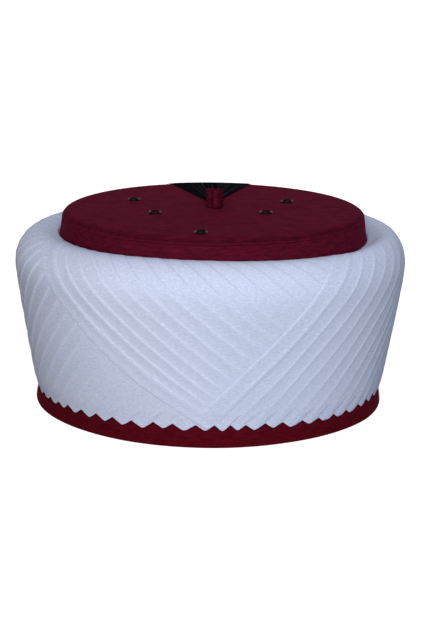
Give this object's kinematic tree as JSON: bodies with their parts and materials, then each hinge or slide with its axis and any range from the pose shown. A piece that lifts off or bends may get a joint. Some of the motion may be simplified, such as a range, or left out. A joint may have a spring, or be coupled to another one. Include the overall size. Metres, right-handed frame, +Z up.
{
  "type": "turban",
  "caption": "Flat-topped felt cap wound with diagonally pleated white cloth that crosses in a V at the front, with a rolled stem, air eyelets and a dark silk tassel lying over the back.",
  "frame": {"origin": "under the middle of the whole piece, on the surface that the felt rim rests on", "axes": "+Z up, -Y the front where the pleats cross, +X the right of the front view"},
  "size_m": [0.204, 0.226, 0.1094],
  "materials": {
    "felt": "maroon wool felt, matt with a short nap",
    "white_cotton": "plain-woven white cotton, pressed into pleats, matt",
    "silk": "black silk thread with a soft bluish sheen",
    "eyelet_metal": "dark gunmetal plating, half gloss"
  },
  "bodies": {
    "root": {"crown_wall": "felt", "crown_top": "felt", "stem": "felt", "eyelet_1": "eyelet_metal", "eyelet_2": "eyelet_metal", "eyelet_3": "eyelet_metal", "eyelet_4": "eyelet_metal", "eyelet_5": "eyelet_metal", "side_wrap": "white_cotton", "front_wrap": "white_cotton", "tassel": "silk"}
  },
  "joints": []
}
